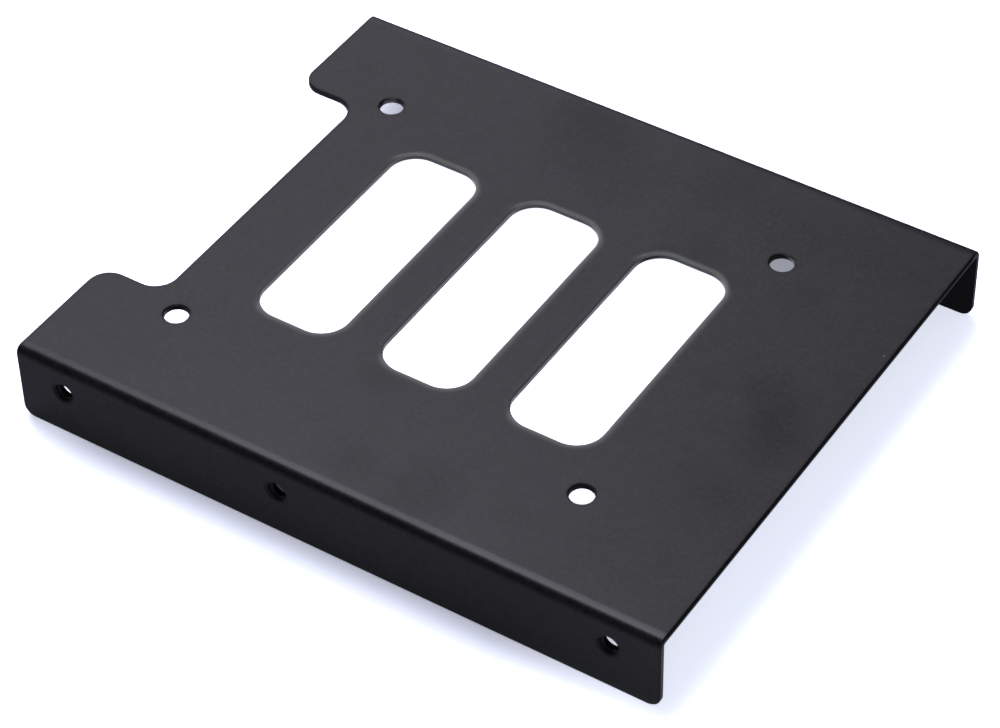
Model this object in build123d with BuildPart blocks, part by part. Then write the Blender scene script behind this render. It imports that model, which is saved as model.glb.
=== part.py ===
from build123d import *
import os

# Drive bay adapter bracket: one steel sheet folded down along two sides, painted black.
# The plate is on top and the flanges hang from its long sides, standing on their edges.
# X runs along the flanges from the notched end to the plain end, Y runs across the plate, Z is up.
# The origin is midway between the flanges and between the ends, on the surface they stand on.
# Sizes are in millimetres.

# Sheet
sheet_thickness = 1.0
inner_bend_radius = 0.5
edge_break = 0.25  # cut edges of the outer faces

# Outside of the folded sheet
bracket_width = 101.6  # over both flanges, the width of a 3.5 inch drive
bracket_height = 14.5  # flange edges to the top of the plate
flange_corner_radius = 2.2

# Side holes in each flange, placed as on a 3.5 inch drive, with a No. 6-32 thread
side_hole_first_gap = 41.6  # from the hole nearest the notched end to the middle hole
side_hole_second_gap = 60.0  # from the middle hole to the hole nearest the plain end
side_hole_end_margin = 9.0  # from the outer holes to the ends of the sheet
side_hole_drop = 5.7  # below the top of the plate
side_hole_diameter = 3.5  # at the thread's root
side_hole_rim_radius = 0.45  # where the outer face is drawn into the hole
collar_height = 1.1  # stands in from the flange's inner face
collar_wall = 0.5

# Holes in the plate for the screws of a 2.5 inch drive
drive_hole_spacing_x = 76.6
drive_hole_spacing_y = 61.72
drive_hole_diameter = 4.1

# Notch that leaves room for the drive's plugs
notch_depth = 12.0
notch_width = 55.6
notch_corner_radius = 4.0
notch_to_drive_holes = 5.2  # from the notch's inner edge to the nearest pair of holes

# Row of slots in the plate
slot_count = 3
slot_width = 16.3
slot_length = 46.0
slot_corner_radius = 5.0
slot_web = 7.7  # metal left between two slots
slot_row_shift = 2.2  # from the middle of the drive holes to the middle of the row, along X

# Worked out from the sizes above
bracket_length = side_hole_first_gap + side_hole_second_gap + 2 * side_hole_end_margin
half_length = bracket_length / 2
half_width = bracket_width / 2
first_side_hole_x = side_hole_end_margin - half_length
side_hole_z = bracket_height - side_hole_drop
side_hole_places = [
    (first_side_hole_x, side_hole_z),
    (first_side_hole_x + side_hole_first_gap, side_hole_z),
    (first_side_hole_x + side_hole_first_gap + side_hole_second_gap, side_hole_z),
]
drive_holes_x = notch_depth + notch_to_drive_holes + drive_hole_spacing_x / 2 - half_length
slot_pitch = slot_width + slot_web
flange_inner_y = half_width - sheet_thickness
collar_radius = side_hole_diameter / 2 + collar_wall

with BuildPart() as bracket:
    # Folded section, carried along the flanges
    with BuildSketch(Plane.YZ):
        with BuildLine():
            FilletPolyline(
                (-half_width, 0),
                (-half_width, bracket_height),
                (half_width, bracket_height),
                (half_width, 0),
                radius=inner_bend_radius + sheet_thickness,
            )
            offset(amount=sheet_thickness, side=Side.RIGHT)
        make_face()
    extrude(amount=half_length, both=True)

    # Rounded lower corners of the flanges
    fillet(bracket.edges().filter_by(Axis.Y).group_by(Axis.Z)[0], radius=flange_corner_radius)

    # Notch in one end of the plate
    with BuildSketch(Plane.XY.offset(bracket_height)):
        with Locations((-half_length, 0)):
            Rectangle(2 * notch_depth, notch_width)
    extrude(amount=-sheet_thickness, mode=Mode.SUBTRACT)
    fillet(bracket.edges(Select.LAST).filter_by(Axis.Z), radius=notch_corner_radius)

    # Slots and screw holes in the plate
    with BuildSketch(Plane.XY.offset(bracket_height)):
        with Locations((drive_holes_x + slot_row_shift, 0)):
            with GridLocations(slot_pitch, 0, slot_count, 1):
                RectangleRounded(slot_width, slot_length, slot_corner_radius)
        with Locations((drive_holes_x, 0)):
            with GridLocations(drive_hole_spacing_x, drive_hole_spacing_y, 2, 2):
                Circle(drive_hole_diameter / 2)
    extrude(amount=-sheet_thickness, mode=Mode.SUBTRACT)

    # Cut edges of the outer faces, where the punch broke the corner: from the plate they run on round the flanges
    plate_edges = bracket.faces().sort_by(Axis.Z)[-1].edges()
    bend_lines = plate_edges.filter_by(Axis.X).group_by(SortBy.LENGTH)[-1]
    chamfer(plate_edges - bend_lines, length=edge_break)

    # Collars drawn inwards from the flanges
    for side in (-1, 1):
        with BuildSketch(Plane.XZ.offset(side * flange_inner_y)):
            with Locations(side_hole_places):
                Circle(collar_radius)
        extrude(amount=-side * collar_height)

    # Side holes through both flanges and their collars, with the outer faces drawn in at the rims
    with BuildSketch(Plane.XZ):
        with Locations(side_hole_places):
            Circle(side_hole_diameter / 2)
    extrude(amount=half_width, both=True, mode=Mode.SUBTRACT)
    rims = bracket.edges(Select.LAST).filter_by(GeomType.CIRCLE).group_by(Axis.Y)
    fillet(rims[0] + rims[-1], radius=side_hole_rim_radius)

bracket.part.label = "bracket"

os.makedirs("parts", exist_ok=True)
export_step(bracket.part, "parts/bracket.step")
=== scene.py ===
import math

import bpy
import numpy as np
from mathutils import Matrix, Vector


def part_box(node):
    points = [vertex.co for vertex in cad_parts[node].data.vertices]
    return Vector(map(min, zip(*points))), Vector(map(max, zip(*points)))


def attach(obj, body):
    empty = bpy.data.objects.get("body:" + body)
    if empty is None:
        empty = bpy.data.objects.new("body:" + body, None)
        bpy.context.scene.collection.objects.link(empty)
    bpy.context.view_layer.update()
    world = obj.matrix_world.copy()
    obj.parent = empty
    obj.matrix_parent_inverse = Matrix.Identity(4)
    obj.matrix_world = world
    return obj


# Looks of the drive bay adapter bracket: one folded sheet in black satin paint, on a pale studio floor.
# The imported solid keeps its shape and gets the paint. The ridges of its side holes' threads are added.
# Lengths are in metres, in the solid's own frame: X along the flanges, Y across the plate, Z up.
# Near, far and left are as the camera sees the bracket: near is -Y, far is +Y, and left is -X.

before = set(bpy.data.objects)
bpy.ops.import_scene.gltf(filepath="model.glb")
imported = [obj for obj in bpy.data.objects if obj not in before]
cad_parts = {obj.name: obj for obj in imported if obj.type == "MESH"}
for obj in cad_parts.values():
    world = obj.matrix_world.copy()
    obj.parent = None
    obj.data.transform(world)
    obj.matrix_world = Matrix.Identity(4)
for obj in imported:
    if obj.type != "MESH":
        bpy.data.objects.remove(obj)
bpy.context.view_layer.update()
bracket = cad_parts["bracket"]

# Outside of the folded sheet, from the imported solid
outer_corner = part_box("bracket")[1]
half_length = outer_corner.x
half_width = outer_corner.y
plate_top = outer_corner.z
bend_radius = 0.0015

# Holes and cut-outs of the plate
drive_holes_x = -0.0043
drive_hole_half_x = 0.0383
drive_hole_half_y = 0.03086
drive_hole_radius = 0.00205
slot_row_x = -0.0021
slot_pitch = 0.024
slot_half_x = 0.00815
slot_half_y = 0.023
slot_corner = 0.005
notch_depth = 0.012
notch_half_y = 0.0278
notch_corner = 0.004
out_of_reach = 10.0  # stretches distances past a tab's corner, so that another edge is nearer there

# Threads of the side holes, No. 6-32
side_holes_x = (-0.0508, -0.0092, 0.0508)
side_holes_z = 0.0088
thread_pitch = 0.000794
thread_root = 0.00175
thread_crest = 0.00138
thread_foot = 0.00004  # how far the ridge is sunk in the wall
thread_flank_half = 0.43  # half of the ridge's foot and of its crest, as shares of the pitch
thread_crest_half = 0.07
thread_run_out = 1 / 6  # share of the thread over which its ridge rises at each end
thread_least_rise = 0.02
thread_steps_per_turn = 48
thread_first_depth = 0.0003  # from the flange's outer face to both ends of the thread
thread_last_depth = 0.0021
thread_outer_end = half_width - thread_first_depth
thread_inner_end = half_width - thread_last_depth
sharp_angle = 35  # degrees between two faces, from which the edge between them is sharp

# Bands along the edges of the sheet: how far short of the edge each starts and ends
end_face_band = (0.0006, 0.0004)
near_face_band = (0.001, 0.0005)
bend_band = (0.0028, bend_radius)
crown_band = (0.0025, 0.0009)
dull_bend_band = (0.0019, 0.0009)
slot_left_band = (0.002, 0.0)
slot_left_stop = (0.005, 0.002)
slot_far_band = (0.004, 0.001)

# Bands by depth below the top of the plate, and by distance from a slot or from the middle of a side hole
top_band = (0.0003, 0.0006)
chamfer_band = (0.00002, 0.00010)
slot_left_reach = (0.0003, 0.0008)
drawn_in_band = (0.0024, 0.0028)
dull_mouth_band = (0.0018, 0.0027)

# Relief that is only bump
worn_depth = 0.00025  # how deep the cut edges of the plate look rounded
worn_depth_more_at_end = 0.00045
worn_share = 0.5  # how much of the slope is taken away
worn_share_more_at_end = 0.08
worn_share_more_left_of_slots = 0.46
drawn_in_depth = 0.0005
drawn_in_share = 0.6
roll_width = 0.0005
roll_depth = 0.00003
crown_depth = 0.000135
peel_height = 0.000004
grain_height = 0.0000006

# Noises of the paint: size, detail and roughness
cloud_noise = (0.022, 3.0, 0.6)
patch_noise = (0.009, 2.0, 0.6)
peel_noise = (0.0011, 2.0, 0.5)
speckle_noise = (0.0008, 3.0, 0.7)
mottle_noise = (0.0025, 1.0, 0.5)
grain_noise = (0.00022, 1.0, 0.5)

# Colour and gloss of the paint
paint_colour = (0.0048, 0.0048, 0.0055)
speckle_contrast = 15.0
mottle_contrast = 2.0
least_tone = 0.1
paint_roughness = 0.35
cloud_roughness = 0.06
grain_roughness = 0.05
paint_specular = 0.422
dull_specular = 0.25

# Painted highlight: pale rims round the slots, added to the paint's colour for light on their cut edges;
# narrower beyond them and weaker on their left
rim_highlight_colour = (0.24, 0.25, 0.215)
rim_width = 0.0016
rim_narrowing_beyond = 0.0005
rim_loss_left = 0.7
rim_loss_less_on_chamfer = 0.25

# Dull marks in the paint, and pale specks
smudge_places = (  # x, y, size and strength
    (0.0519, -0.0050, 0.0100, 0.65),
    (0.0490, 0.0030, 0.0090, 0.5),
    (0.0500, -0.0190, 0.0110, 0.35),
    (0.0384, 0.0011, 0.0040, 0.3),
    (-0.0109, 0.0443, 0.0140, 0.5),
    (-0.0010, 0.0370, 0.0130, 0.25),
    (0.0170, 0.0430, 0.0150, 0.35),
    (0.0330, 0.0400, 0.0130, 0.25),
    (0.0490, 0.0410, 0.0130, 0.2),
    (0.0127, -0.0432, 0.0110, 0.4),
    (0.0347, -0.0450, 0.0120, 0.12),
    (-0.0005, -0.0445, 0.0085, 0.35),
    (-0.0060, -0.0262, 0.0060, 0.25),
    (0.0215, 0.0262, 0.0075, 0.35),
    (0.0410, 0.0250, 0.0060, 0.3),
    (-0.0130, 0.0310, 0.0055, 0.2),
)
smudge_spread = 0.007
patch_dullness = 0.5
outline_dullness = 0.6
outline_width = 0.0009
far_bend_dullness = 0.9
mouth_dullness = 0.8
scratch_places = ((-0.0018, -0.226), (-0.0003, -0.177))  # x at the scratch's middle, and its lean
scratch_y = -0.0362
scratch_band = (0.00004, 0.00020)
scratch_half_length = 0.008
scratch_dullness = 0.3
top_speck = (0.0585, 0.0200)  # x and y
side_speck = (-0.0207, 0.0043)  # x and z
side_speck_share = 0.5
speck_size = 0.0003
speck_tone = 30.0

# Floor: its own colour, the colour that the camera sees, and the glow that lifts it towards white
floor_reach = 3.0
floor_albedo = (0.29, 0.29, 0.34, 1.0)
floor_seen = (1.87, 2.0, 2.2)
floor_glow = (0.39, 0.405, 0.46)
lift_everywhere = 0.7
# Painted light: the floor that the camera sees is lifted more past both ends of the bracket and under its
# slots
painted_light_at_plain_end = 0.96
painted_light_at_notched_end = 0.42
painted_light_under_slots = 1.9
# Painted light in reflections: the floor glows more under the slots and by the near flange's plain end, less
# just in front of it
gloss_everywhere = 0.32
gloss_under_slots = 3.5
gloss_at_near_end = 0.6
gloss_loss_in_front = 0.45
plain_end_band = (0.032, 0.002)  # short of the plain end
notched_end_band = (0.018, 0.0)  # short of the notched end
near_strip_band = (0.036, 0.042)  # from the middle towards the near flange
in_front_band = (0.0005, -0.0015)  # short of the near flange's outer face, and past it

# Painted pool of light: floor that the camera sees through the slots, lifted further towards white
slots_seen_middle = (-0.010, 0.0118)
slots_seen_half = (0.034, 0.025)
slots_seen_corner = 0.003
slots_seen_fade = 0.004

# Painted shadow: a dark strip of floor behind the middle hole of the near flange
strip_middle = (-0.0148, -0.048)
strip_half = (0.012, 0.008)
strip_corner = 0.006
strip_fade = 0.009
painted_shadow_strength = 0.9
strip_stop = (0.001, 0.0002)

# Lamps and studio
lamp_colour = (0.93, 0.90, 1.035)
fill_colour = (0.88, 0.88, 1.0, 1.0)
fill_strength = 0.13
white = (1.0, 1.0, 1.0, 1.0)

# Camera: degrees and metres, and the lens in millimetres
camera_azimuth = 33.687
camera_elevation = 43.521
camera_roll = -1.34
camera_distance = 0.563977
camera_target = (-0.000492, -0.000698, 0.0)
lens_length = 123.91
sensor_width = 36.0
nearest_seen = 0.01


# Surfaces of the new pieces


def grid_faces(rows, columns):
    """Four-cornered faces of a grid of rows by columns of points, closed on itself along the columns."""
    first = np.arange(rows - 1)[:, None] * columns
    column = np.arange(columns)[None, :]
    following = (column + 1) % columns
    corners = [first + column, first + following, first + columns + following, first + columns + column]
    return np.stack(corners, -1)


def mesh_piece(name, points, faces, caps):
    """One mesh object from an array of points, an array of four-cornered faces and the two end caps."""
    mesh = bpy.data.meshes.new(name)
    mesh.from_pydata(points.tolist(), [], faces.reshape(-1, 4).tolist() + [cap.tolist() for cap in caps])
    mesh.polygons.foreach_set("use_smooth", np.ones(len(mesh.polygons), bool))
    mesh.set_sharp_from_angle(angle=math.radians(sharp_angle))
    piece = bpy.data.objects.new(name, mesh)
    bpy.context.scene.collection.objects.link(piece)
    return piece


def thread_ridge(name, hole_x, side):
    """A right-handed helical ridge inside one side hole.

    The ridge's section is a flat-topped triangle: a closed ring of radii and of offsets along the hole. The
    ring is carried round the hole. At the angle t its points lie at the radius times cos t upwards and sin t
    along X, and their place along the hole is their offset plus the pitch times t over a full turn, held
    between the thread's ends. The crest sinks to the root at both ends.
    """
    turns = (thread_outer_end - thread_inner_end) / thread_pitch
    steps = int(turns * thread_steps_per_turn)
    angle = np.linspace(0, 2 * np.pi * turns, steps + 1)[:, None]
    share = angle / angle.max()
    rise = np.clip(np.minimum(share, 1 - share) / thread_run_out, thread_least_rise, 1)
    crest = thread_root - (thread_root - thread_crest) * rise
    foot = np.full_like(angle, thread_root + thread_foot)
    radius = np.concatenate([foot, crest, crest, foot], 1)
    flank = thread_flank_half * thread_pitch
    flat = thread_crest_half * thread_pitch
    offset = np.array([[-flank, -flat, flat, flank]])
    along = thread_inner_end + thread_pitch * angle / (2 * np.pi) + offset
    along = np.clip(along, thread_inner_end, thread_outer_end)
    turned = angle * side
    across = hole_x + radius * np.sin(turned)
    up = side_holes_z + radius * np.cos(turned)
    points = np.stack([across, side * along, up], -1)
    faces = grid_faces(steps + 1, 4)
    first_cap = np.arange(4)[::-1]
    last_cap = np.arange(4) + steps * 4
    piece = mesh_piece(name, points.reshape(-1, 3), faces, [first_cap, last_cap])
    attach(piece, "root")
    return piece


# Shader maths


class Socket:
    """A value or a vector in a material, so that shader maths is written as plain expressions."""

    def __init__(self, shader, link):
        self.shader = shader
        self.link = link

    def maths(self, operation, *others):
        return self.shader.node("Math", {"operation": operation}, [self, *others])

    def __add__(self, other):
        return self.maths("ADD", other)

    def __sub__(self, other):
        return self.maths("SUBTRACT", other)

    def __mul__(self, other):
        return self.maths("MULTIPLY", other)

    def __truediv__(self, other):
        return self.maths("DIVIDE", other)

    def __pow__(self, other):
        return self.maths("POWER", other)

    def __abs__(self):
        return self.maths("ABSOLUTE")

    def __neg__(self):
        return self.maths("MULTIPLY", -1.0)

    def __rsub__(self, other):
        return self.shader.node("Math", {"operation": "SUBTRACT"}, [other, self])

    __radd__ = __add__
    __rmul__ = __mul__

    def least(self, other):
        return self.maths("MINIMUM", other)

    def most(self, other):
        return self.maths("MAXIMUM", other)

    def rounded(self):
        return self.maths("ROUND")


class Shader:
    """The nodes of one material or of the world."""

    def __init__(self, owner):
        owner.use_nodes = True
        self.tree = owner.node_tree
        self.tree.nodes.clear()

    def node(self, kind, settings, values, output=0):
        """Adds a node: its type, its settings, then its sockets' values or links. Gives one output."""
        node = self.tree.nodes.new("ShaderNode" + kind)
        for name, setting in settings.items():
            setattr(node, name, setting)
        pairs = values.items() if isinstance(values, dict) else enumerate(values)
        for key, value in pairs:
            if isinstance(value, Socket):
                self.tree.links.new(value.link, node.inputs[key])
            else:
                node.inputs[key].default_value = value
        return Socket(self, node.outputs[output]) if len(node.outputs) else node

    def outputs(self, kind, settings, values, names):
        """Adds a node and gives several of its outputs."""
        node = self.node(kind, settings, values).link.node
        return [Socket(self, node.outputs[name]) for name in names]

    def position(self):
        """The place on the piece, in metres, as one vector and as X, Y and Z."""
        place = self.node("TexCoord", {}, {}, "Object")
        return place, *self.outputs("SeparateXYZ", {}, [place], ["X", "Y", "Z"])

    def noise(self, place, size, detail, roughness):
        """Soft noise about 0.5, with lumps of about a given size."""
        values = {"Vector": place, "Scale": 1 / size, "Detail": detail, "Roughness": roughness}
        return self.node("TexNoise", {}, values)

    def scaled(self, colour, factor):
        """A colour times a value."""
        return self.node("VectorMath", {"operation": "SCALE"}, {"Vector": colour, "Scale": factor})


def length_of(a, b):
    """The length of the flat vector (a, b)."""
    return (a * a + b * b) ** 0.5


def smooth_step(shader, value, start, end):
    """0 below start, 1 above end, and a smooth S between them."""
    ranged = {"interpolation_type": "SMOOTHSTEP"}
    return shader.node("MapRange", ranged, {"Value": value, "From Min": start, "From Max": end})


def fade_out(shader, distance, start, end):
    """1 up to start and 0 from end outwards, with a smooth fall between them."""
    return 1.0 - smooth_step(shader, distance, start, end)


def straight_fade(distance, width):
    """1 at an edge and 0 from a width outwards, with a straight fall between them."""
    return (1.0 - distance / width).most(0.0).least(1.0)


def edge_band(shader, value, edge, band):
    """0 before a band along an edge and 1 past it, for a band that starts and ends that far short of it."""
    start, end = band
    return smooth_step(shader, value, edge - start, edge - end)


def rounded_box(x, y, half_x, half_y, corner):
    """How far outside a rounded rectangle a place is: negative inside, 0 on its outline."""
    over_x = abs(x) - (half_x - corner)
    over_y = abs(y) - (half_y - corner)
    return length_of(over_x.most(0.0), over_y.most(0.0)) + over_x.most(over_y).least(0.0) - corner


def from_slot(x):
    """How far along X a place is from the middle of the nearest slot."""
    from_row = x - slot_row_x
    nearest = (from_row / slot_pitch).rounded().most(-1.0).least(1.0)
    return from_row - nearest * slot_pitch


def outline_distance(x, y):
    """How far a place on the plate is from the nearest drive hole, notch edge or end, seen from above.

    The plate is left as a tab on both sides of the notch, and each tab's corner beside the notch is rounded.
    """
    hole_x = abs(x - drive_holes_x) - drive_hole_half_x
    hole_y = abs(y) - drive_hole_half_y
    to_hole = length_of(hole_x, hole_y) - drive_hole_radius
    to_notch = rounded_box(x + half_length, y, notch_depth, notch_half_y, notch_corner)
    short_of_arc_x = (notch_corner - half_length) - x
    short_of_arc_y = (notch_corner + notch_half_y) - abs(y)
    past_arc = (-short_of_arc_x).most(0.0) + (-short_of_arc_y).most(0.0)
    from_arc_middle = length_of(short_of_arc_x.most(0.0), short_of_arc_y.most(0.0))
    to_tab_corner = notch_corner - from_arc_middle + past_arc * out_of_reach
    to_plain_end = half_length - x
    to_notched_end = half_length + x
    return to_hole.least(to_notch.least(to_tab_corner)).least(to_plain_end.least(to_notched_end))


# Materials


class SheetPlaces:
    """Where on the bracket a place is: how far from its holes and edges, and on which of its sides."""

    def __init__(self, shader, x, y, z):
        from_slot_x = from_slot(x)
        past_slot_left = edge_band(shader, -from_slot_x, slot_half_x, slot_left_band)
        at_far_corner = edge_band(shader, y, slot_half_y, slot_left_stop)
        first, second, third = (abs(x - hole_x) for hole_x in side_holes_x)
        self.x = x
        self.y = y
        self.z = z
        self.depth = plate_top - z
        self.inside_flange_face = half_width - abs(y)
        self.to_slot = rounded_box(from_slot_x, y, slot_half_x, slot_half_y, slot_corner)
        self.to_outline = outline_distance(x, y)
        self.from_side_hole = length_of(first.least(second).least(third), z - side_holes_z)
        self.on_top = fade_out(shader, self.depth, *top_band)
        self.on_chamfer = smooth_step(shader, self.depth, *chamfer_band)
        self.on_end = edge_band(shader, x, half_length, end_face_band)
        self.on_near_face = edge_band(shader, -y, half_width, near_face_band)
        self.between_bends = 1.0 - edge_band(shader, abs(y), half_width, bend_band)
        self.on_crown = edge_band(shader, abs(y), half_width, crown_band)
        self.at_far_bend = edge_band(shader, y, half_width, dull_bend_band)
        self.left_of_slot = past_slot_left * (1.0 - at_far_corner)
        self.beyond_slot = edge_band(shader, y, slot_half_y, slot_far_band)


def edge_relief(shader, at):
    """Height of the edges' bump, in metres.

    It rises with the depth below the top of the plate, and in the side holes' mouths with the depth below
    the flange's face, so that both look rounded. It sinks in a narrow roll along the plate's cut edges, and
    a little before the bends.
    """
    slot_left_edge = at.left_of_slot * fade_out(shader, at.to_slot, *slot_left_reach)
    worn_to = worn_depth + worn_depth_more_at_end * at.on_end
    share = worn_share + worn_share_more_at_end * at.on_end
    share = share + worn_share_more_left_of_slots * slot_left_edge
    worn = at.depth.least(worn_to) * share * at.between_bends
    in_mouth = fade_out(shader, at.from_side_hole, *drawn_in_band)
    drawn_in = at.inside_flange_face.most(0.0).least(drawn_in_depth) * drawn_in_share * in_mouth
    roll = straight_fade(at.to_slot.least(at.to_outline), roll_width) * at.on_top * (1.0 - slot_left_edge)
    return worn + drawn_in - roll * roll * roll_depth - at.on_crown * crown_depth


def painted_slot_highlight(at):
    """How strong the painted highlight round the slots is, from 0 to 1."""
    width = rim_width - rim_narrowing_beyond * at.beyond_slot
    loss = at.left_of_slot * (rim_loss_left - rim_loss_less_on_chamfer * at.on_chamfer)
    rim_highlight = straight_fade(at.to_slot, width) * (1.0 - loss) * at.on_top
    return rim_highlight * rim_highlight


def dull_marks(shader, at, clouds, patches):
    """How dull the paint is: smudges, scratches, patches, cut edges, far bend and side holes' mouths."""
    ragged_x = at.x + (patches - 0.5) * smudge_spread
    ragged_y = at.y + (clouds - 0.5) * smudge_spread
    marks = (patches - 0.5) * patch_dullness
    marks = marks + outline_dullness * straight_fade(at.to_outline, outline_width)
    for smudge_x, smudge_y, size, strength in smudge_places:
        from_smudge = length_of(ragged_x - smudge_x, ragged_y - smudge_y)
        marks = marks + strength * fade_out(shader, from_smudge, 0.0, size)
    for scratch_x, lean in scratch_places:
        along = at.y - scratch_y
        line = fade_out(shader, abs(at.x - scratch_x - lean * along), *scratch_band)
        marks = marks + scratch_dullness * line * fade_out(shader, abs(along), 0.0, scratch_half_length)
    in_mouth = fade_out(shader, at.from_side_hole, *dull_mouth_band)
    return marks.most(0.0) * at.on_top + far_bend_dullness * at.at_far_bend + mouth_dullness * in_mouth


def pale_specks(shader, at):
    """1 in the middle of the specks: one on the plate, and a weaker one on the near flange."""
    from_top_speck = length_of(at.x - top_speck[0], at.y - top_speck[1])
    from_side_speck = length_of(at.x - side_speck[0], at.z - side_speck[1])
    on_plate = fade_out(shader, from_top_speck, 0.0, speck_size) * at.on_top
    on_flange = fade_out(shader, from_side_speck, 0.0, speck_size) * at.on_near_face
    return on_plate + side_speck_share * on_flange


def black_paint():
    """Black satin paint with orange peel and fine speckles, and a highlight painted as pale rims round the
    slots.

    A second, less glossy paint is mixed in where the dull marks are.
    """
    material = bpy.data.materials.new("black_paint")
    shader = Shader(material)
    place, x, y, z = shader.position()
    at = SheetPlaces(shader, x, y, z)
    clouds = shader.noise(place, *cloud_noise)
    patches = shader.noise(place, *patch_noise)
    peel = shader.noise(place, *peel_noise)
    speckles = shader.noise(place, *speckle_noise)
    mottle = shader.noise(place, *mottle_noise)
    grain = shader.noise(place, *grain_noise)

    height = (peel - 0.5) * peel_height + (grain - 0.5) * grain_height + edge_relief(shader, at)
    normal = shader.node("Bump", {}, {"Strength": 1.0, "Distance": 1.0, "Height": height}, "Normal")

    tone = 1.0 + (speckles - 0.5) * (speckle_contrast * patches) + (mottle - 0.5) * mottle_contrast
    tone = tone + (clouds - 0.5) + pale_specks(shader, at) * speck_tone
    painted = shader.scaled(paint_colour, tone.most(least_tone))
    # Painted highlight: pale rims round the slots, added to the base colour
    rim_highlight = shader.scaled(rim_highlight_colour, painted_slot_highlight(at))
    colour = shader.node("VectorMath", {"operation": "ADD"}, [painted, rim_highlight])
    roughness = paint_roughness + (clouds - 0.5) * cloud_roughness + (grain - 0.5) * grain_roughness

    shared = {"Base Color": colour, "Roughness": roughness, "Normal": normal}
    clean = shader.node("BsdfPrincipled", {}, {**shared, "Specular IOR Level": paint_specular})
    dull = shader.node("BsdfPrincipled", {}, {**shared, "Specular IOR Level": dull_specular})
    dullness = dull_marks(shader, at, clouds, patches).least(1.0)
    mixed = shader.node("MixShader", {}, [dullness, clean, dull])
    shader.node("OutputMaterial", {}, {"Surface": mixed})
    return material


def studio_floor():
    """A matt pale floor. The camera sees it lifted to white, and keeps the bracket's shadow in pale blue.

    The lift is stronger past both ends of the bracket and under its slots, where the picture is white:
    painted pools of light. A strip behind the near flange's middle hole stays dark: a painted shadow. The
    floor glows in reflections too, and more so under the slots and by the plain end of the near flange:
    painted light.
    """
    material = bpy.data.materials.new("studio_floor")
    shader = Shader(material)
    _, x, y, _ = shader.position()
    to_camera, to_gloss = shader.outputs("LightPath", {}, {}, ["Is Camera Ray", "Is Glossy Ray"])

    at_plain_end = edge_band(shader, x, half_length, plain_end_band)
    at_notched_end = edge_band(shader, -x, half_length, notched_end_band)
    in_front = edge_band(shader, -y, half_width, in_front_band)
    at_near_end = at_plain_end * smooth_step(shader, -y, *near_strip_band)
    # Painted pool of light: where the camera sees the floor through the slots
    from_slots_x = x - slots_seen_middle[0]
    from_slots_y = y - slots_seen_middle[1]
    from_slots = rounded_box(from_slots_x, from_slots_y, *slots_seen_half, slots_seen_corner)
    under_slots = fade_out(shader, from_slots, 0.0, slots_seen_fade)
    # Painted shadow: a dark strip of floor behind the near flange's middle hole
    from_strip = rounded_box(x - strip_middle[0], y - strip_middle[1], *strip_half, strip_corner)
    behind_flange = 1.0 - edge_band(shader, -y, half_width, strip_stop)
    outside_painted_shadow = 1.0 - painted_shadow_strength * fade_out(shader, from_strip, 0.0, strip_fade) * behind_flange

    # Painted light: the lift is stronger past both ends and under the slots
    lift = lift_everywhere + painted_light_at_plain_end * at_plain_end + painted_light_at_notched_end * at_notched_end
    lift = (lift + painted_light_under_slots * under_slots) * outside_painted_shadow
    # Painted light in reflections: more glow under the slots and by the plain end of the near flange
    in_gloss = gloss_everywhere + gloss_under_slots * under_slots
    in_gloss = in_gloss + at_near_end * (gloss_at_near_end - gloss_loss_in_front * in_front)
    glow_colour = shader.scaled(floor_glow, to_camera * lift + to_gloss * in_gloss)

    plain = shader.node("BsdfDiffuse", {}, {"Color": floor_albedo})
    seen = shader.node("BsdfDiffuse", {}, {"Color": shader.scaled(floor_seen, outside_painted_shadow)})
    matt = shader.node("MixShader", {}, [to_camera, plain, seen])
    glow = shader.node("Emission", {}, {"Color": glow_colour, "Strength": 1.0})
    whole = shader.node("AddShader", {}, [matt, glow])
    shader.node("OutputMaterial", {}, {"Surface": whole})
    return material


paint = black_paint()
for slot in bracket.material_slots:
    slot.material = paint

for side, side_name in ((-1, "near"), (1, "far")):
    for number, hole_x in enumerate(side_holes_x, 1):
        ridge = thread_ridge(f"thread_{side_name}_{number}", hole_x, side)
        ridge.data.materials.append(paint)


# Floor, light and camera


def floor():
    """A square floor under the flange edges."""
    corners = [(x * floor_reach, y * floor_reach, 0) for x, y in ((-1, -1), (1, -1), (1, 1), (-1, 1))]
    mesh = bpy.data.meshes.new("floor")
    mesh.from_pydata(corners, [], [(0, 1, 2, 3)])
    mesh.materials.append(studio_floor())
    piece = bpy.data.objects.new("floor", mesh)
    bpy.context.scene.collection.objects.link(piece)


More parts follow.
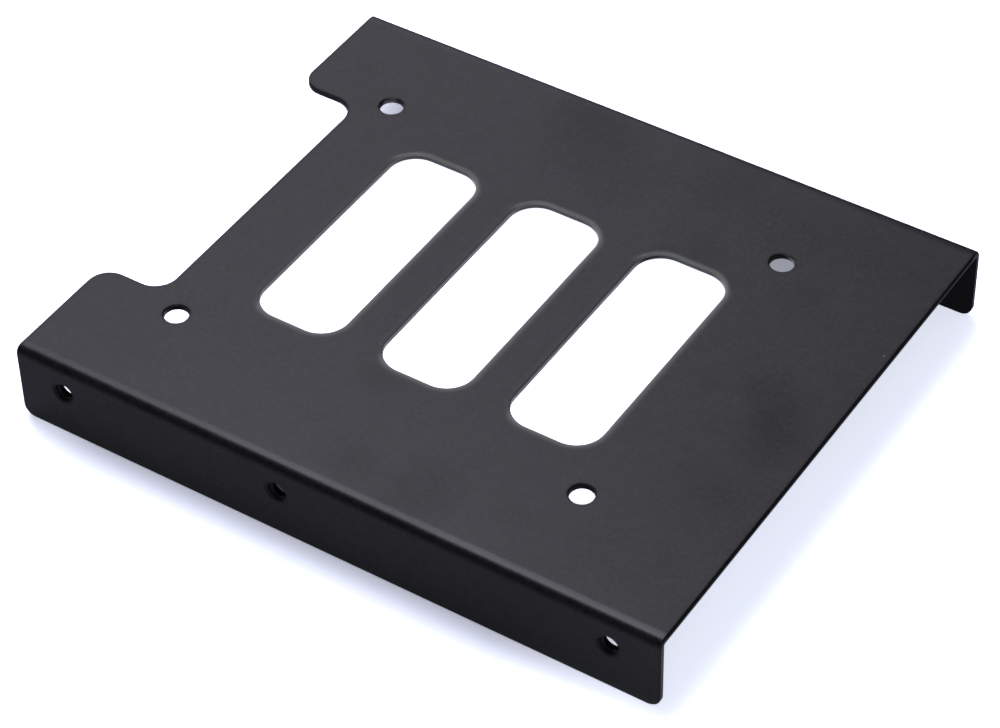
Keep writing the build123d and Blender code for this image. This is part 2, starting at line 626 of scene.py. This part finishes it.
def softbox(name, azimuth, elevation, distance, width, height, radiance):
    """A soft rectangular lamp aimed at the bracket. Its azimuth goes from +Y towards -X, in degrees."""
    turn, lift = math.radians(azimuth), math.radians(elevation)
    level = math.cos(lift)
    direction = Vector((-math.sin(turn) * level, math.cos(turn) * level, math.sin(lift)))
    lamp = bpy.data.lights.new(name, "AREA")
    lamp.shape = "RECTANGLE"
    lamp.size = width
    lamp.size_y = height
    lamp.energy = radiance * math.pi * width * height
    lamp.color = lamp_colour
    placed = bpy.data.objects.new(name, lamp)
    placed.location = direction * distance
    placed.rotation_euler = direction.to_track_quat("Z", "Y").to_euler()
    bpy.context.scene.collection.objects.link(placed)


def studio_world():
    """A dim bluish studio all round, which the camera sees as white."""
    world = bpy.data.worlds.new("studio")
    shader = Shader(world)
    to_camera = shader.node("LightPath", {}, {}, "Is Camera Ray")
    fill = shader.node("Background", {}, {"Color": fill_colour, "Strength": fill_strength})
    backdrop = shader.node("Background", {}, {"Color": white, "Strength": 1.0})
    seen = shader.node("MixShader", {}, [to_camera, fill, backdrop])
    shader.node("OutputWorld", {}, {"Surface": seen})
    bpy.context.scene.world = world


def camera():
    """The photograph's view: a long lens from the right and above, rolled a little."""
    turn, lift, roll = (math.radians(angle) for angle in (camera_azimuth, camera_elevation, camera_roll))
    back = Vector((math.sin(turn) * math.cos(lift), -math.cos(turn) * math.cos(lift), math.sin(lift)))
    lens = bpy.data.cameras.new("camera")
    lens.sensor_fit = "HORIZONTAL"
    lens.sensor_width = sensor_width
    lens.lens = lens_length
    lens.clip_start = nearest_seen
    placed = bpy.data.objects.new("camera", lens)
    across = -back.cross(Vector((0, 0, 1))).normalized()
    upward = across.cross(-back)
    turned_across = across * math.cos(roll) + upward * math.sin(roll)
    turned_upward = upward * math.cos(roll) - across * math.sin(roll)
    turned = Matrix((turned_across, turned_upward, back)).transposed().to_4x4()
    placed.matrix_world = Matrix.Translation(Vector(camera_target) + back * camera_distance) @ turned
    bpy.context.scene.collection.objects.link(placed)
    bpy.context.scene.camera = placed


floor()
studio_world()
softbox("back_softbox", azimuth=48, elevation=34, distance=0.9, width=0.87, height=0.78, radiance=1.10)
softbox("top_softbox", azimuth=59, elevation=72, distance=0.8, width=0.32, height=0.5, radiance=5.56)
softbox("front_softbox", azimuth=-143, elevation=18, distance=0.9, width=0.6, height=0.4, radiance=0.4)
camera()

view = bpy.context.scene.view_settings
view.view_transform = "Standard"
